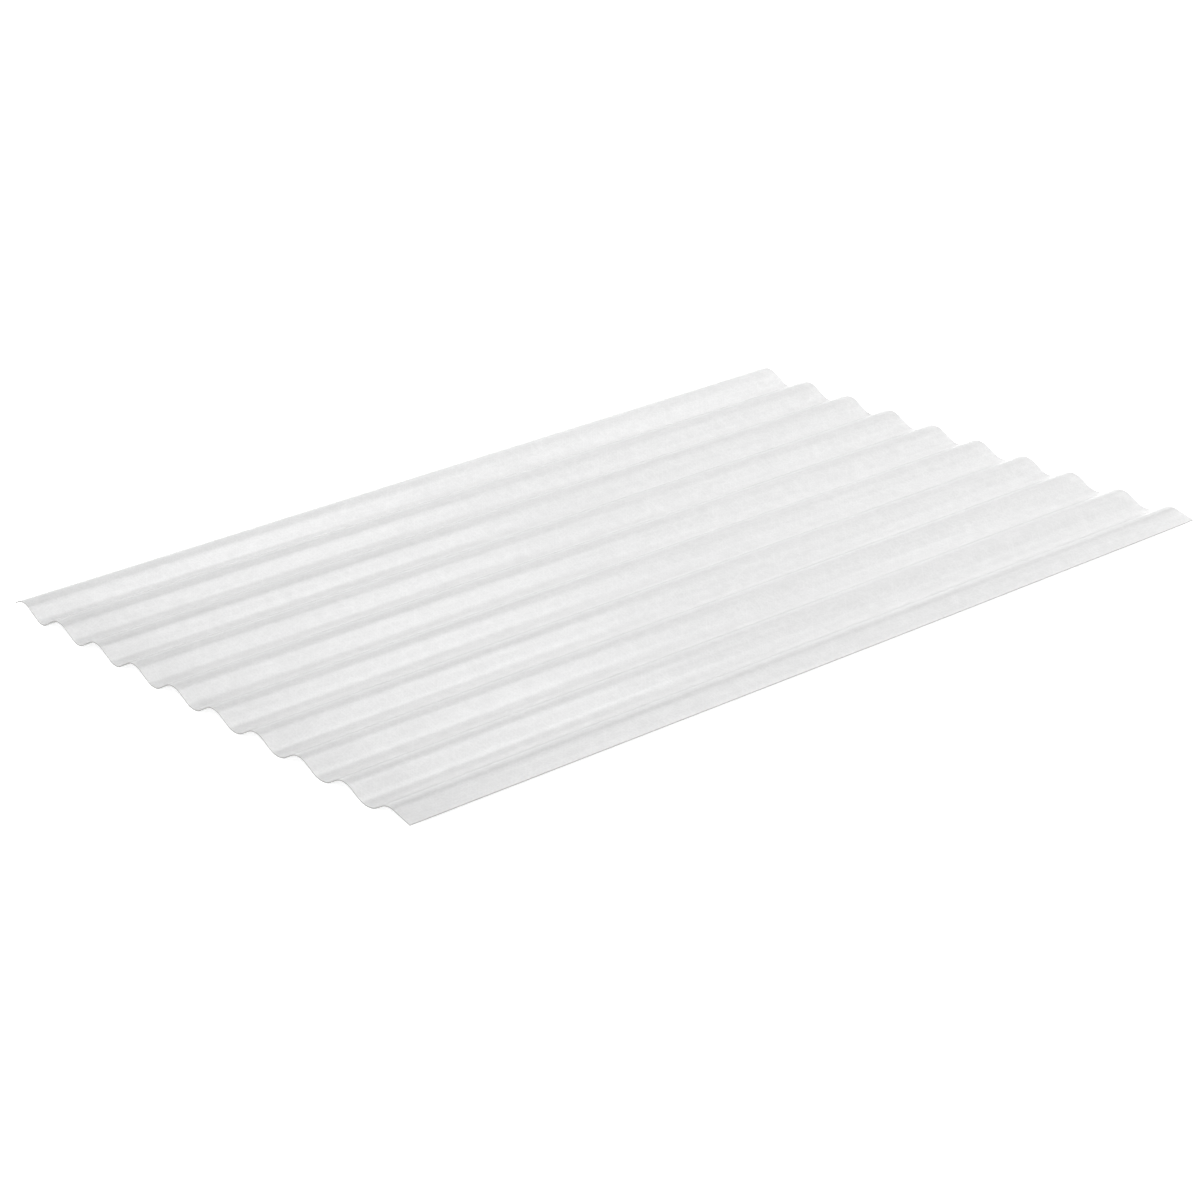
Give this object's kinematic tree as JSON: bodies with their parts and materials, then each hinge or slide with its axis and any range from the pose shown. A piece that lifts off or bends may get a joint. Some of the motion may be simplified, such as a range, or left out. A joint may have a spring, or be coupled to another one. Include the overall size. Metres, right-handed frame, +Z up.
{
  "type": "corrugated fiberglass panel",
  "caption": "Translucent off-white corrugated fiberglass roofing panel, one thin moulded sheet with round waves along its length and a flatter lip on one long edge.",
  "frame": {"origin": "bottom of the bounding box, in the middle of the length and the width", "axes": "+Y along the corrugations, +X across them towards the flatter lip, +Z up"},
  "size_m": [0.6544, 0.981, 0.0129],
  "materials": {
    "fiberglass": "satin, faintly mottled by the glass fibres in it"
  },
  "bodies": {
    "root": {"corrugated_panel": "fiberglass"}
  },
  "joints": []
}
